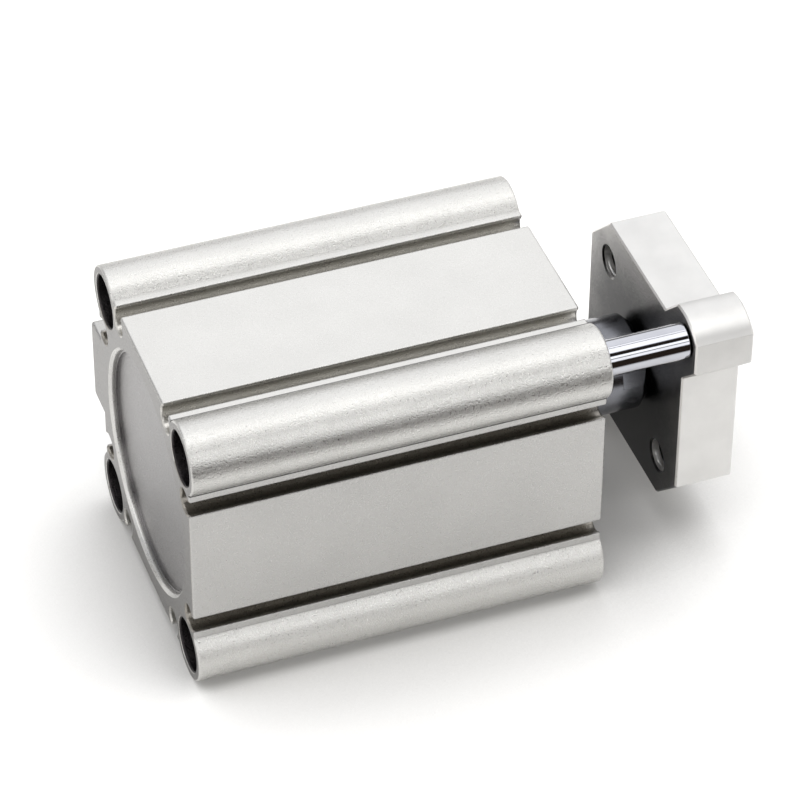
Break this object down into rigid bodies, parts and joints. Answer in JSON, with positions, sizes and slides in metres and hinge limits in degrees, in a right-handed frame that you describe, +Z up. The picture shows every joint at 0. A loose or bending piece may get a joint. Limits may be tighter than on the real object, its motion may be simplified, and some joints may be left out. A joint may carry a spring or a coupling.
{
  "type": "guided pneumatic cylinder",
  "caption": "Compact square pneumatic cylinder with a piston rod, slim guide rods and an end plate that stays square to the body.",
  "frame": {"origin": "centre of the rear mounting face, on the cylinder's axis", "axes": "+X along the stroke towards the end plate, +Y towards the air ports, +Z up"},
  "size_m": [0.0943, 0.0552, 0.052],
  "materials": {
    "anodised_extrusion": "bead-blasted, clear anodised, satin",
    "turned_aluminium": "turned, clear anodised",
    "plate_aluminium": "bead-blasted, clear anodised, satin",
    "hard_chrome": "ground and hard chromed",
    "bush_bronze": "sintered, oiled",
    "spring_steel": "phosphated",
    "screw_steel": "nickel plated",
    "nitrile_rubber": "moulded, matt",
    "guide_band": "moulded",
    "ferrite_magnet": "pressed, matt",
    "urethane": "moulded, satin"
  },
  "bodies": {
    "cylinder": {"cylinder_tube": "anodised_extrusion", "head_cover": "turned_aluminium", "head_cover_gasket": "nitrile_rubber", "rod_cover": "turned_aluminium", "rod_cover_gasket": "nitrile_rubber", "rod_seal": "nitrile_rubber", "retaining_ring": "spring_steel", "guide_bush_upper": "bush_bronze", "guide_bush_lower": "bush_bronze"},
    "rod_and_plate": {"piston_rod": "hard_chrome", "piston": "turned_aluminium", "magnet_holder": "turned_aluminium", "magnet_ring": "ferrite_magnet", "piston_seal": "nitrile_rubber", "wear_ring": "guide_band", "bumper_rod_side": "urethane", "bumper_head_side": "urethane", "end_plate": "plate_aluminium", "plate_screw": "screw_steel", "guide_rod_upper": "hard_chrome", "guide_rod_lower": "hard_chrome", "guide_rod_screw_upper": "screw_steel", "guide_rod_screw_lower": "screw_steel"}
  },
  "joints": [
    {"name": "rod_slide", "type": "slide", "parent": "cylinder", "child": "rod_and_plate", "axis": [1, 0, 0], "range_m": [0, 0.03]}
  ]
}
